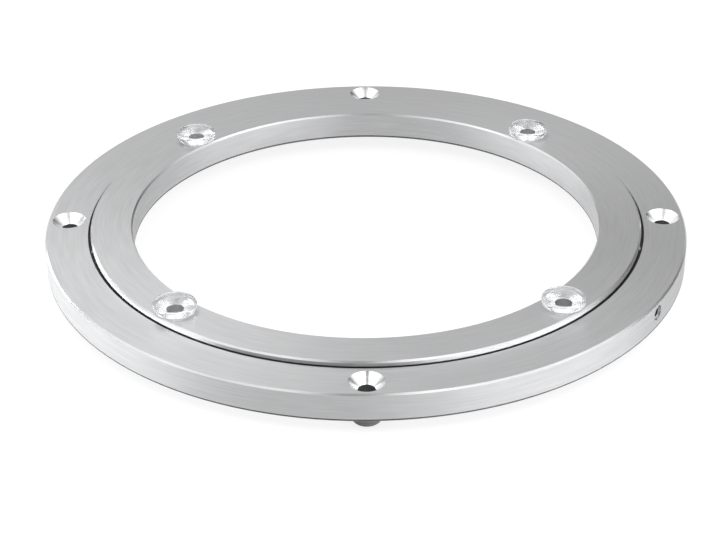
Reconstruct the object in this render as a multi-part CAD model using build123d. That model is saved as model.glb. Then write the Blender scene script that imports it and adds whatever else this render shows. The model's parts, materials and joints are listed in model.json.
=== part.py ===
from build123d import *
import os

# Lazy susan bearing: two flat aluminium rings, one inside the other, that turn on a ring of caged
# steel balls. Millimetres, +Z up, origin on the table under the centre, front towards -Y.

# Rings
bore_diameter = 146.0
inner_ring_width = 13.0
ring_gap = 0.75
outer_ring_width = 13.25
ring_height = 9.0
ring_lift = 1.5
edge_break = 0.5
lip_break = 0.2

# Ball race between the rings
ball_diameter = 4.0
ball_count = 12
race_clearance = 0.08
race_relief = 0.3
cage_thickness = 0.35
cage_height = 6.0
pocket_clearance = 0.15

# Grub screw that closes the hole through which the balls are loaded
plug_diameter = 4.6
plug_angle = -31.5
plug_recess = 0.6
plug_clearance = 0.05
plug_tip_gap = 0.25
plug_edge = 0.4
socket_width = 2.5
socket_depth = 2.6

# Countersunk screw holes of the outer ring, each with a rubber foot below it
screw_hole = 5.0
screw_sink = 10.4
foot_diameter = 8.2
foot_bore = 5.6
foot_height = 3.5
foot_seat_depth = 0.8
foot_seat_clearance = 0.05
foot_edge = 0.4

# Countersunk screw holes of the inner ring, each covered by a clear pad
pad_hole = 5.0
pad_sink = 10.4
pad_diameter = 13.0
pad_height = 2.5
pad_edge = 0.6
pad_seat_clearance = 0.05

# Places around the axis, in degrees from +X
foot_angles = {"front": -90, "right": 0, "back": 90, "left": 180}
pad_angles = {"front_right": -44, "back_right": 46, "back_left": 136, "front_left": -134}

# Length that cutting tools reach past the faces they cut
overcut = 1.0

# Radii and heights that follow from the sizes above
bore_radius = bore_diameter / 2
inner_rim_radius = bore_radius + inner_ring_width
outer_bore_radius = inner_rim_radius + ring_gap
outer_radius = outer_bore_radius + outer_ring_width
race_radius = inner_rim_radius + ring_gap / 2
screw_radius = outer_bore_radius + outer_ring_width / 2
pad_radius = bore_radius + inner_ring_width / 2
outer_bottom = foot_height
outer_top = outer_bottom + ring_height
inner_bottom = outer_bottom + ring_lift
inner_top = inner_bottom + ring_height
race_level = (inner_bottom + outer_top) / 2
pad_sink_depth = (pad_sink - pad_hole) / 2

ON_BASE = (Align.CENTER, Align.CENTER, Align.MIN)


def at_angle(angle, radius, height):
    """Place at a radius and height, turned so that its local X points outwards."""
    return Rot(0, 0, angle) * Pos(radius, 0, height)


def radial_cylinder(angle, diameter, start, end):
    """Cylinder that lies along a radius at race height, from one radius to another."""
    bar = Cylinder(diameter / 2, end - start, align=ON_BASE)
    return at_angle(angle, start, race_level) * Rot(0, 90, 0) * bar


def countersunk_cutter(hole, sink, bottom, top):
    """Through hole with a right-angled countersink at its top."""
    sink_depth = (sink - hole) / 2
    drill_length = top - bottom + 2 * overcut
    drill = Pos(0, 0, bottom - overcut) * Cylinder(hole / 2, drill_length, align=ON_BASE)
    cone = Cone(hole / 2, sink / 2 + overcut, sink_depth + overcut, align=ON_BASE)
    return drill + Pos(0, 0, top - sink_depth) * cone


def race_section():
    """Section of the ball race: flanks at 45 degrees that each ball touches, with flat reliefs behind it."""
    flank_span = ball_diameter + 2 * race_clearance
    flanks = Rot(0, 0, 45) * Rectangle(flank_span, flank_span)
    relief_span = ball_diameter + 2 * race_relief
    return Pos(race_radius, race_level) * (flanks & Rectangle(relief_span, 2 * flank_span))


def turned_ring(inner_radius, width, bottom, bore_break, rim_break):
    """Flat ring with broken edges, and its half of the race turned into the side that faces the balls."""
    section = Pos(inner_radius + width / 2, bottom + ring_height / 2) * Rectangle(width, ring_height)
    section = chamfer(section.vertices().group_by(Axis.X)[0], bore_break)
    section = chamfer(section.vertices().group_by(Axis.X)[-1], rim_break)
    return revolve(Plane.XZ * (section - race_section()), Axis.Z)


def make_outer_ring():
    """Outer ring: its edges beside the gap are broken less than the rim, which is handled."""
    ring = turned_ring(outer_bore_radius, outer_ring_width, outer_bottom, lip_break, edge_break)
    hole = countersunk_cutter(screw_hole, screw_sink, outer_bottom, outer_top)
    seat_radius = foot_diameter / 2 + foot_seat_clearance
    seat = Cylinder(seat_radius, foot_seat_depth + overcut, align=ON_BASE)
    cutter = hole + Pos(0, 0, outer_bottom - overcut) * seat
    for angle in foot_angles.values():
        ring -= at_angle(angle, screw_radius, 0) * cutter
    ring -= radial_cylinder(plug_angle, plug_diameter, race_radius, outer_radius + overcut)
    return ring


def make_inner_ring():
    ring = turned_ring(bore_radius, inner_ring_width, inner_bottom, edge_break, edge_break)
    cutter = countersunk_cutter(pad_hole, pad_sink, inner_bottom, inner_top)
    for angle in pad_angles.values():
        ring -= at_angle(angle, pad_radius, 0) * cutter
    return ring


def ball_places():
    """Angles of the balls, evenly spaced round the race."""
    return [360 * index / ball_count for index in range(ball_count)]


def make_balls():
    ball = Sphere(ball_diameter / 2)
    return Compound([at_angle(angle, race_radius, race_level) * ball for angle in ball_places()])


def make_cage():
    """Thin nylon band in the gap between the rings, with a round pocket for each ball."""
    section = Pos(race_radius, race_level) * Rectangle(cage_thickness, cage_height)
    band = revolve(Plane.XZ * section, Axis.Z)
    pocket_diameter = ball_diameter + 2 * pocket_clearance
    pocket_start = race_radius - cage_thickness - overcut
    pocket_end = race_radius + cage_thickness + overcut
    for angle in ball_places():
        band -= radial_cylinder(angle, pocket_diameter, pocket_start, pocket_end)
    return band


def make_plug():
    """Socket grub screw: its tip stops just short of the balls, its head just below the rim."""
    tip = race_radius + ball_diameter / 2 + plug_tip_gap
    head = outer_radius - plug_recess
    screw = Cylinder(plug_diameter / 2 - plug_clearance, head - tip, align=ON_BASE)
    screw = chamfer(screw.edges().filter_by(GeomType.CIRCLE), plug_edge)
    socket = extrude(RegularPolygon(socket_width / 2, 6, major_radius=False), socket_depth)
    screw -= Pos(0, 0, head - tip - socket_depth) * socket
    return at_angle(plug_angle, tip, race_level) * Rot(0, 90, 0) * screw


def make_foot():
    """Rubber washer foot: the screw passes through it, and its top sits in a seat in the ring."""
    length = foot_height + foot_seat_depth
    foot = Cylinder(foot_diameter / 2, length, align=ON_BASE)
    foot -= Cylinder(foot_bore / 2, length, align=ON_BASE)
    tread = foot.edges().filter_by(GeomType.CIRCLE).group_by(Axis.Z)[0].sort_by(SortBy.RADIUS)[-1]
    return chamfer(tread, foot_edge)


def make_pad():
    """Clear pad: a flat disc on the ring, with a cone below it that fills the countersink."""
    disc = Cylinder(pad_diameter / 2, pad_height, align=ON_BASE)
    disc = chamfer(disc.edges().filter_by(GeomType.CIRCLE).sort_by(Axis.Z)[-1], pad_edge)
    boss_height = pad_sink_depth - pad_seat_clearance
    boss = Cone(pad_hole / 2, pad_hole / 2 + boss_height, boss_height, align=ON_BASE)
    return disc + Pos(0, 0, -boss_height) * boss


def make_parts():
    """Every piece of the bearing in its place, by name."""
    parts = {
        "outer_ring": make_outer_ring(),
        "inner_ring": make_inner_ring(),
        "bearing_balls": make_balls(),
        "ball_cage": make_cage(),
        "loading_plug": make_plug(),
    }
    foot = make_foot()
    for place, angle in foot_angles.items():
        parts["rubber_foot_" + place] = at_angle(angle, screw_radius, 0) * foot
    pad = make_pad()
    for place, angle in pad_angles.items():
        parts["clear_pad_" + place] = at_angle(angle, pad_radius, inner_top) * pad
    return parts


os.makedirs("parts", exist_ok=True)
for node, shape in make_parts().items():
    export_step(shape, "parts/" + node + ".step")
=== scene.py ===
import json
import math

import bpy
from mathutils import Matrix, Vector


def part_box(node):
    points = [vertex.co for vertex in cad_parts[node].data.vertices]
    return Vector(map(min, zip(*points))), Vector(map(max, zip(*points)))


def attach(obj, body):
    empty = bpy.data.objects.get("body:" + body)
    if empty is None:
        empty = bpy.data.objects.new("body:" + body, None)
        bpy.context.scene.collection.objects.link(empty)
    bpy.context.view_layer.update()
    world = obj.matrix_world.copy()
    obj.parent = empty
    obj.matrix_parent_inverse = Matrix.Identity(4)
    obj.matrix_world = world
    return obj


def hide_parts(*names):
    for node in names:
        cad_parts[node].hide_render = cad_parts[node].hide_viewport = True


# Lazy susan bearing: finishes for the CAD nodes, clear pads with a rounded rim, and a plain studio.
# Metres, +Z up, origin on the table under the centre, front towards -Y. Angles are in degrees.

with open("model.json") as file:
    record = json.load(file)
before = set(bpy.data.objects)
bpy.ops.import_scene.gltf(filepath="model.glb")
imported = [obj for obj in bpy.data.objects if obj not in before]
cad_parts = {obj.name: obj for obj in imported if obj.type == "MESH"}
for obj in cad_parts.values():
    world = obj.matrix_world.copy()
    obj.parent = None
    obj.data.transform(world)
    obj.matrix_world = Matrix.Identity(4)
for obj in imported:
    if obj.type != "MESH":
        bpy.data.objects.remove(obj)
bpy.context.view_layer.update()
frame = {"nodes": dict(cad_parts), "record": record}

MM = 0.001
WHITE = (1, 1, 1, 1)

# Places taken from the frame
MOUNTS = {mount["name"]: mount for mount in frame["record"]["mounts"]}
SCREW_CIRCLE = MOUNTS["base_screw_holes"]["dims"]["pcd_mm"] / 2 * MM
PAD_CIRCLE = MOUNTS["top_screw_holes"]["dims"]["pcd_mm"] / 2 * MM
OUTER_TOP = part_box("outer_ring")[1].z
INNER_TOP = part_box("inner_ring")[1].z

# Photo frame and camera, with the eye given from the centre of the outer ring's top face
IMAGE_WIDTH = 716
FOCAL_PIXELS = 1935
SENSOR_WIDTH = 36.0
CLIP_START = 10.0 * MM
EYE_DISTANCE = 609.6 * MM
EYE_ELEVATION = 28.47
AIM_RIGHT = -0.236
AIM_UP = -1.531
ROLL = -0.358

# Aluminium, with turning lines that have their length at the ring radius, and soft patches
ALUMINIUM_LIGHT = (0.69, 0.693, 0.70, 1)
ALUMINIUM_DARK = (0.545, 0.548, 0.555, 1)
FINE_LINE = 0.22 * MM
BROAD_LINE = 0.9 * MM
LINE_LENGTH = 14.0 * MM
RING_RADIUS = 86.0 * MM
LINE_DETAIL = 2.0
LINE_CONTRAST = (0.25, 0.75)
LINE_RELIEF = 0.012 * MM
LINE_BUMP = 0.35
PATCH_SCALE = 60.0
PATCH_DETAIL = 3.0
FINE_SHARE = 0.45
BROAD_SHARE = 0.35
PATCH_SHARE = 0.2
ANISOTROPY = 0.75
ANISOTROPY_TURN = 0.25

# Faces are told apart by their slope, the upward part of the normal: 0 on walls and 1 on flats
WALL_SLOPE = 0.3
BEVEL_SLOPE = 0.707
BEVEL_TOLERANCE = 0.2
FLAT_SLOPE = 0.8

# Roughness of each kind of face, and how far the lines change it
FLAT_ROUGHNESS = 0.34
WALL_ROUGHNESS = 0.56
BEVEL_ROUGHNESS = 0.3
SINK_ROUGHNESS = 0.22
SHOULDER_ROUGHNESS = 0.4
LINE_ROUGHNESS = 0.05

# Countersinks: bright cones above holes whose walls are darkened with painted shade
SINK_RADIUS = 5.2 * MM
SINK_SHADE = 1.3
SCREW_HOLE_SHADE = 0.3
PAD_HOLE_SHADE = 0.35

# Shoulder: the inner ring's rim above the outer ring, shaded with an upward tilt as on a rounded edge
SHOULDER_TILT = 0.42

# Painted shade on the walls in the gap below the outer ring's top, where shade falls between the rings; the
# band beside the gap is given by its middle radius and half width
GAP_BAND_RADIUS = 85.35 * MM
GAP_BAND_HALF_WIDTH = 1.45 * MM
GAP_PAINTED_SHADE = 0.18

# Painted shade on the lower edges of the rings, where the floor under them is in shadow
EDGE_LINE = 0.85 * MM
EDGE_PAINTED_SHADE = 0.2

# Grain of the plain materials
GRAIN_DETAIL = 5.0
GRAIN_CONTRAST = (0.3, 0.7)
GRAIN_RELIEF = 0.05 * MM
GRAIN_ROUGHNESS = 0.06

# Clear plastic, and the colour of the lamps' light that passes through it
PLASTIC_COLOR = (0.97, 0.98, 0.98, 1)
PLASTIC_PASSING = (0.95, 0.96, 0.96, 1)
PLASTIC_IOR = 1.47
HAZE_SCALE = 600.0
HAZE_DETAIL = 3.0
HAZE_ROUGHNESS = 0.05

# Clear pads: the round of the rim, the chamfer below it, and how deep the pad is bonded into the ring
PAD_ROUND = 0.9 * MM
PAD_UNDERCUT = 0.2 * MM
PAD_BOND = 0.02 * MM

# Mesh of a pad: the radius of its closing faces at the axis, its steps, and the angle of crisp corners
PAD_CENTRE = 0.01 * MM
PAD_STEPS = 96
PAD_ROUND_STEPS = 12
SHARP_ANGLE = 35.0

# Floor
FLOOR_HALF = 3.0
FLOOR_COLOR = (0.30, 0.30, 0.30, 1)
FLOOR_GLOW = 0.78

# Surroundings by height and depth of a direction: brighter above, dimmer in front, white at the horizon
SKY_HEIGHTS = (0.24, 0.62)
SKY_LEVELS = (0.05, 0.744)
FRONT_DEPTHS = (-0.6, 0.0)
FRONT_SHARE = 0.45
HORIZON_HEIGHTS = (0.06, 0.04)
HORIZON_LEVEL = 1.0

# Bright screens in the surroundings, at the back left, the back right and both sides: direction and level
SCREENS = [
    ((-0.452, 0.646, 0.616), 3.2),
    ((0.492, 0.587, 0.643), 0.3),
    ((-0.81, 0.05, 0.584), 0.9),
    ((0.81, 0.05, 0.584), 0.9),
]
SCREEN_FOCUS = 20.0

# Cap on the level of the surroundings, screens included
BRIGHTEST = 1.42

# Lamps: low strips at the sides for the walls, and panels above: name, place, size and power in watts
LAMPS = [
    ("softbox_left", (-0.70, 0.06, 0.07), (1.05, 0.14), 2.45),
    ("softbox_right", (0.58, -0.40, 0.065), (1.0, 0.13), 2.15),
    ("panel_left", (-0.36, -0.23, 0.61), (0.66, 0.30), 0.9),
    ("panel_right", (0.34, -0.24, 0.61), (0.80, 0.30), 1.45),
]


# Shader nodes

def node(tree, kind, values=None, **attributes):
    """A shader node with its settings, and its inputs set to values or linked to other outputs."""
    made = tree.nodes.new("ShaderNode" + kind)
    for name, value in attributes.items():
        setattr(made, name, value)
    for socket, value in (values or {}).items():
        if isinstance(value, bpy.types.NodeSocket):
            tree.links.new(value, made.inputs[socket])
        else:
            made.inputs[socket].default_value = value
    return made


def calc(tree, operation, *values):
    """Output of a math node."""
    return node(tree, "Math", dict(enumerate(values)), operation=operation).outputs[0]


def vector_calc(tree, operation, *vectors):
    """Output of a vector math node that gives a vector."""
    return node(tree, "VectorMath", dict(enumerate(vectors)), operation=operation).outputs[0]


def total(tree, first, *others):
    """Sum of several values."""
    for other in others:
        first = calc(tree, "ADD", first, other)
    return first


def product(tree, first, *others):
    """Product of several values."""
    for other in others:
        first = calc(tree, "MULTIPLY", first, other)
    return first


def length(tree, x, y):
    """Length of a flat vector."""
    return calc(tree, "SQRT", total(tree, product(tree, x, x), product(tree, y, y)))


def ramp(tree, value, start, end, low=0.0, high=1.0):
    """A value that goes from low to high while another goes from start to end."""
    sockets = {"Value": value, "From Min": start, "From Max": end, "To Min": low, "To Max": high}
    return node(tree, "MapRange", sockets).outputs["Result"]


def spread(tree, value, low, high):
    """A value from 0 to 1 spread over a range."""
    return ramp(tree, value, 0.0, 1.0, low, high)


# The Mix node has its pair of values at inputs 2 and 3, and its pair of colours at inputs 6 and 7

def blend_values(tree, factor, first, second):
    """Value that goes from the first to the second with the factor."""
    return node(tree, "Mix", {0: factor, 2: first, 3: second}).outputs[0]


def blend_colors(tree, factor, first, second):
    """Colour that goes from the first to the second with the factor."""
    return node(tree, "Mix", {0: factor, 6: first, 7: second}, data_type="RGBA").outputs[2]


def noise(tree, place, scale, detail):
    """Soft noise."""
    return node(tree, "TexNoise", {"Vector": place, "Scale": scale, "Detail": detail}).outputs[0]


def new_material(name):
    """An empty node material and its tree."""
    material = bpy.data.materials.new(name)
    material.use_nodes = True
    material.node_tree.nodes.clear()
    return material, material.node_tree


def output(tree, shader):
    """Ends a material's tree with its shader node."""
    node(tree, "OutputMaterial", {"Surface": shader.outputs[0]})


# Aluminium of the rings

def turning_lines(tree, x, y, z, width):
    """Broken lines round the axis, as a turning tool leaves them on flat and upright faces alike."""
    radius = length(tree, x, y)
    turns = RING_RADIUS / LINE_LENGTH
    around_x = product(tree, calc(tree, "DIVIDE", x, radius), turns)
    around_y = product(tree, calc(tree, "DIVIDE", y, radius), turns)
    across = calc(tree, "DIVIDE", total(tree, radius, z), width)
    track = node(tree, "CombineXYZ", {0: around_x, 1: around_y, 2: across}).outputs[0]
    return ramp(tree, noise(tree, track, 1.0, LINE_DETAIL), *LINE_CONTRAST)


def ring_masks(tree, x, y, z, upward, ring, hole_circle):
    """Masks by name, each 1 on its own faces of a ring and 0 elsewhere."""
    radius = length(tree, x, y)
    slope = calc(tree, "ABSOLUTE", upward)
    wall = calc(tree, "LESS_THAN", slope, WALL_SLOPE)
    steep = calc(tree, "LESS_THAN", slope, FLAT_SLOPE)
    bevel = calc(tree, "COMPARE", slope, BEVEL_SLOPE, BEVEL_TOLERANCE)
    turned_down = calc(tree, "LESS_THAN", upward, 0.0)
    hole_band = calc(tree, "COMPARE", radius, hole_circle, SINK_RADIUS)
    near_gap = calc(tree, "COMPARE", radius, GAP_BAND_RADIUS, GAP_BAND_HALF_WIDTH)
    inside_gap = calc(tree, "LESS_THAN", z, OUTER_TOP)
    above_gap = calc(tree, "GREATER_THAN", z, OUTER_TOP)
    lowest = calc(tree, "LESS_THAN", z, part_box(ring)[0].z + EDGE_LINE)
    return {
        "bevel": bevel,
        "cone": product(tree, hole_band, bevel),
        # painted shade on the walls of the screw holes
        "painted_hole_shade": product(tree, hole_band, wall),
        # painted shade on the walls in the gap between the rings
        "gap_shade": product(tree, near_gap, steep, inside_gap),
        "shoulder": product(tree, near_gap, wall, above_gap),
        # painted shade on the lower edges, standing in for the shadow under the ring
        "lower_edge_shade": calc(tree, "MAXIMUM", product(tree, bevel, turned_down), product(tree, lowest, steep)),
    }


def aluminium_color(tree, lines, masks, hole_shade):
    """Colour of the lined metal, brighter on the countersinks, with painted shade in the gap, on the lower
    edges and in the holes.
    """
    shade = product(
        tree,
        # painted shade in the gap between the rings
        spread(tree, masks["gap_shade"], 1.0, GAP_PAINTED_SHADE),
        # painted shade on the lower edges
        spread(tree, masks["lower_edge_shade"], 1.0, EDGE_PAINTED_SHADE),
        # painted shade in the holes
        spread(tree, masks["painted_hole_shade"], 1.0, hole_shade),
        spread(tree, masks["cone"], 1.0, SINK_SHADE),
    )
    color = blend_colors(tree, lines, ALUMINIUM_DARK, ALUMINIUM_LIGHT)
    return node(tree, "VectorMath", {0: color, "Scale": shade}, operation="SCALE").outputs[0]


def aluminium_roughness(tree, lines, masks, upward):
    """Roughness: satin on flats and walls, smoother on bevels and smoothest on the countersinks."""
    slope = calc(tree, "ABSOLUTE", upward)
    satin = spread(tree, slope, WALL_ROUGHNESS, FLAT_ROUGHNESS)
    satin = total(tree, satin, spread(tree, lines, LINE_ROUGHNESS, -LINE_ROUGHNESS))
    polish = spread(tree, masks["cone"], BEVEL_ROUGHNESS, SINK_ROUGHNESS)
    roughness = blend_values(tree, masks["bevel"], satin, polish)
    return blend_values(tree, masks["shoulder"], roughness, SHOULDER_ROUGHNESS)


def aluminium_normal(tree, height, masks):
    """Normal with the lines' relief on all but the bevels, and the upward tilt of the shoulder."""
    facing = node(tree, "NewGeometry").outputs["Normal"]
    lift = node(tree, "CombineXYZ", {2: product(tree, masks["shoulder"], SHOULDER_TILT)}).outputs[0]
    facing = vector_calc(tree, "NORMALIZE", vector_calc(tree, "ADD", facing, lift))
    lined = calc(tree, "SUBTRACT", 1.0, masks["bevel"])
    return node(tree, "Bump", {
        "Height": product(tree, height, lined),
        "Strength": LINE_BUMP,
        "Distance": LINE_RELIEF,
        "Normal": facing,
    }).outputs[0]


def turned_aluminium(name, ring, hole_circle, hole_shade):
    """Satin aluminium: turning lines round the axis on flats and walls, smooth bevels and countersinks."""
    material, tree = new_material(name)
    coordinates = node(tree, "TexCoord")
    place = coordinates.outputs["Object"]
    x, y, z = node(tree, "SeparateXYZ", {"Vector": place}).outputs
    upward = node(tree, "SeparateXYZ", {"Vector": coordinates.outputs["Normal"]}).outputs[2]
    masks = ring_masks(tree, x, y, z, upward, ring, hole_circle)
    fine = turning_lines(tree, x, y, z, FINE_LINE)
    broad = turning_lines(tree, x, y, z, BROAD_LINE)
    patches = noise(tree, place, PATCH_SCALE, PATCH_DETAIL)
    lines = total(
        tree,
        product(tree, fine, FINE_SHARE),
        product(tree, broad, BROAD_SHARE),
        product(tree, patches, PATCH_SHARE),
    )
    shader = node(tree, "BsdfPrincipled", {
        "Base Color": aluminium_color(tree, lines, masks, hole_shade),
        "Metallic": 1.0,
        "Roughness": aluminium_roughness(tree, lines, masks, upward),
        "Normal": aluminium_normal(tree, total(tree, fine, broad), masks),
        "Anisotropic": ANISOTROPY,
        "Anisotropic Rotation": ANISOTROPY_TURN,
        "Tangent": node(tree, "Tangent", direction_type="RADIAL", axis="Z").outputs[0],
    })
    output(tree, shader)
    return material


# Other materials

def grained(name, dark, light, roughness, scale, metallic=0.0, bump=0.1, stretch=(1, 1, 1)):
    """A plain material with a fine grain in its colour, roughness and surface."""
    material, tree = new_material(name)
    place = vector_calc(tree, "MULTIPLY", node(tree, "TexCoord").outputs["Object"], stretch)
    grain = ramp(tree, noise(tree, place, scale, GRAIN_DETAIL), *GRAIN_CONTRAST)
    relief = node(tree, "Bump", {"Height": grain, "Strength": bump, "Distance": GRAIN_RELIEF})
    shader = node(tree, "BsdfPrincipled", {
        "Base Color": blend_colors(tree, grain, dark, light),
        "Metallic": metallic,
        "Roughness": spread(tree, grain, roughness - GRAIN_ROUGHNESS, roughness + GRAIN_ROUGHNESS),
        "Normal": relief.outputs[0],
    })
    output(tree, shader)
    return material


def ball_steel():
    """Polished steel of the balls."""
    return grained("ball_steel", dark=(0.6, 0.6, 0.62, 1), light=(0.7, 0.7, 0.72, 1),
                   roughness=0.12, scale=300.0, metallic=1.0, bump=0.0)


def cage_nylon():
    """Black matte nylon of the cage."""
    return grained("cage_nylon", dark=(0.02, 0.02, 0.02, 1), light=(0.04, 0.04, 0.04, 1),
                   roughness=0.55, scale=400.0)


def plug_steel():
    """Satin steel of the grub screw."""
    return grained("plug_steel", dark=(0.42, 0.42, 0.425, 1), light=(0.62, 0.62, 0.625, 1),
                   roughness=0.32, scale=900.0, metallic=1.0)


def foot_rubber():
    """Dark rubber of the feet, with pale bands round them."""
    return grained("foot_rubber", dark=(0.07, 0.07, 0.072, 1), light=(0.42, 0.42, 0.425, 1),
                   roughness=0.3, scale=60.0, stretch=(1, 1, 18))


def clear_plastic(name):
    """Clear moulded plastic with faint surface haze, which lets the lamps' light through."""
    material, tree = new_material(name)
    haze = noise(tree, node(tree, "TexCoord").outputs["Object"], HAZE_SCALE, HAZE_DETAIL)
    clear = node(tree, "BsdfPrincipled", {
        "Base Color": PLASTIC_COLOR,
        "Transmission Weight": 1.0,
        "IOR": PLASTIC_IOR,
        "Roughness": spread(tree, haze, 0.0, HAZE_ROUGHNESS),
    })
    passing = node(tree, "BsdfTransparent", {"Color": PLASTIC_PASSING})
    shadow = node(tree, "LightPath").outputs["Is Shadow Ray"]
    output(tree, node(tree, "MixShader", {0: shadow, 1: clear.outputs[0], 2: passing.outputs[0]}))
    return material


def dress(material, *nodes):
    """Gives CAD nodes a material."""
    for name in nodes:
        slots = frame["nodes"][name].data.materials
        slots.clear()
        slots.append(material)


def nodes_named(start):
    """Names of the CAD nodes that begin with the same words."""
    return [name for name in frame["nodes"] if name.startswith(start)]


# Clear pads

def smooth(mesh):
    """Smooth faces with crisp corners."""
    mesh.shade_smooth()
    mesh.set_sharp_from_angle(angle=math.radians(SHARP_ANGLE))


def lathe(name, profile, center, steps):
    """Closed turned mesh with flat ends, from radius and height pairs."""
    points = []
    faces = []
    count = len(profile)
    for step in range(steps):
        angle = 2 * math.pi * step / steps
        for radius, height in profile:
            x = center.x + radius * math.cos(angle)
            y = center.y + radius * math.sin(angle)
            points.append((x, y, height))
    for step in range(steps):
        here = step * count
        there = (step + 1) % steps * count
        for index in range(count - 1):
            faces.append((here + index, there + index, there + index + 1, here + index + 1))
    faces.append([step * count for step in reversed(range(steps))])
    faces.append([step * count + count - 1 for step in range(steps)])
    mesh = bpy.data.meshes.new(name)
    mesh.from_pydata(points, [], faces)
    smooth(mesh)
    piece = bpy.data.objects.new(name, mesh)
    bpy.context.scene.collection.objects.link(piece)
    return piece


def arc(radius, height, size, start, end, steps):
    """Points of an arc in a profile, round its own centre, between two angles."""
    angles = [math.radians(start + (end - start) * step / steps) for step in range(steps + 1)]
    return [(radius + size * math.cos(angle), height + size * math.sin(angle)) for angle in angles]


def add_pad(node_name, material):
    """Clear pad with a rounded rim, bonded to the ring, and the cone below it that fills the countersink."""
    low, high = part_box(node_name)
    seat = INNER_TOP - PAD_BOND
    rim = (high.x - low.x) / 2
    tip = SINK_RADIUS - (INNER_TOP - low.z) + PAD_BOND
    profile = [
        (PAD_CENTRE, low.z),
        (tip, low.z),
        (SINK_RADIUS, seat),
        (rim - PAD_UNDERCUT, seat),
        (rim, seat + PAD_UNDERCUT),
    ]
    profile += arc(rim - PAD_ROUND, high.z - PAD_ROUND, PAD_ROUND, 0, 90, PAD_ROUND_STEPS)
    profile.append((PAD_CENTRE, high.z))
    pad = lathe(node_name + "_moulded", profile, (low + high) / 2, PAD_STEPS)
    pad.data.materials.append(material)
    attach(pad, "turntable")
    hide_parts(node_name)


# Studio

def add_camera():
    """Camera at the photo's angle: set on the eye's line to the ring, then turned a little to its aim."""
    elevation = math.radians(EYE_ELEVATION)
    target = Vector((0, 0, OUTER_TOP))
    eye = target + EYE_DISTANCE * Vector((0, -math.cos(elevation), math.sin(elevation)))
    forward = (target - eye).normalized()
    right = Vector((1, 0, 0))
    up = right.cross(forward)
    forward = (forward + math.radians(AIM_RIGHT) * right + math.radians(AIM_UP) * up).normalized()
    right = forward.cross(up).normalized()
    up = right.cross(forward)
    turn = Matrix((right, up, -forward)).transposed() @ Matrix.Rotation(math.radians(ROLL), 3, "Z")
    data = bpy.data.cameras.new("camera")
    data.sensor_width = SENSOR_WIDTH
    data.lens = FOCAL_PIXELS / IMAGE_WIDTH * SENSOR_WIDTH
    data.clip_start = CLIP_START
    camera = bpy.data.objects.new("camera", data)
    camera.matrix_world = Matrix.Translation(eye) @ turn.to_4x4()
    bpy.context.scene.collection.objects.link(camera)
    bpy.context.scene.camera = camera


def seen_directly(tree):
    """1 for what the camera sees, straight, in gloss or through clear plastic."""
    path = node(tree, "LightPath")
    glossy = calc(tree, "MAXIMUM", path.outputs["Is Camera Ray"], path.outputs["Is Glossy Ray"])
    return calc(tree, "MAXIMUM", glossy, path.outputs["Is Transmission Ray"])


def add_floor():
    """Plain white floor that keeps a soft shadow."""
    mesh = bpy.data.meshes.new("floor")
    corners = [(x * FLOOR_HALF, y * FLOOR_HALF, 0) for x, y in ((-1, -1), (1, -1), (1, 1), (-1, 1))]
    mesh.from_pydata(corners, [], [(0, 1, 2, 3)])
    floor = bpy.data.objects.new("floor", mesh)
    bpy.context.scene.collection.objects.link(floor)
    material, tree = new_material("floor_white")
    matte = node(tree, "BsdfDiffuse", {"Color": FLOOR_COLOR})
    glow = node(tree, "Emission", {"Strength": product(tree, seen_directly(tree), FLOOR_GLOW)})
    output(tree, node(tree, "AddShader", {0: matte.outputs[0], 1: glow.outputs[0]}))
    mesh.materials.append(material)


def add_world():
    """Studio surroundings with bright screens, white at the horizon and through clear plastic."""
    world = bpy.data.worlds.new("studio")
    world.use_nodes = True
    tree = world.node_tree
    tree.nodes.clear()
    direction = node(tree, "TexCoord").outputs["Generated"]
    parts = node(tree, "SeparateXYZ", {"Vector": direction}).outputs
    depth = parts["Y"]
    height = parts["Z"]
    sky = ramp(tree, height, *SKY_HEIGHTS, *SKY_LEVELS)
    front = ramp(tree, depth, *FRONT_DEPTHS, FRONT_SHARE)
    level = product(tree, sky, front)
    for toward, brightness in SCREENS:
        facing = node(tree, "VectorMath", {0: direction, 1: toward}, operation="DOT_PRODUCT").outputs["Value"]
        screen = calc(tree, "POWER", calc(tree, "MAXIMUM", facing, 0.0), SCREEN_FOCUS)
        level = calc(tree, "MULTIPLY_ADD", screen, brightness, level)
    level = calc(tree, "MINIMUM", level, BRIGHTEST)
    horizon = ramp(tree, height, *HORIZON_HEIGHTS)
    plain = calc(tree, "MAXIMUM", horizon, node(tree, "LightPath").outputs["Is Transmission Ray"])
    strength = blend_values(tree, plain, level, calc(tree, "MAXIMUM", level, HORIZON_LEVEL))
    background = node(tree, "Background", {"Color": WHITE, "Strength": strength})
    node(tree, "OutputWorld", {"Surface": background.outputs[0]})
    bpy.context.scene.world = world


def add_lamp(name, place, size, power):
    """Rectangular soft lamp aimed at the origin."""
    data = bpy.data.lights.new(name, "AREA")
    data.shape = "RECTANGLE"
    data.size, data.size_y = size
    data.energy = power
    lamp = bpy.data.objects.new(name, data)
    lamp.location = place
    lamp.rotation_euler = (-Vector(place)).to_track_quat("-Z", "Y").to_euler()
    bpy.context.scene.collection.objects.link(lamp)


dress(turned_aluminium("outer_aluminium", "outer_ring", SCREW_CIRCLE, SCREW_HOLE_SHADE), "outer_ring")
dress(turned_aluminium("inner_aluminium", "inner_ring", PAD_CIRCLE, PAD_HOLE_SHADE), "inner_ring")
dress(ball_steel(), "bearing_balls")
dress(cage_nylon(), "ball_cage")
dress(plug_steel(), "loading_plug")
dress(foot_rubber(), *nodes_named("rubber_foot"))

pad_clear = clear_plastic("pad_clear")
for pad_node in nodes_named("clear_pad"):
    add_pad(pad_node, pad_clear)

add_camera()
add_floor()
add_world()
for lamp_values in LAMPS:
    add_lamp(*lamp_values)
bpy.context.scene.view_settings.view_transform = "Standard"
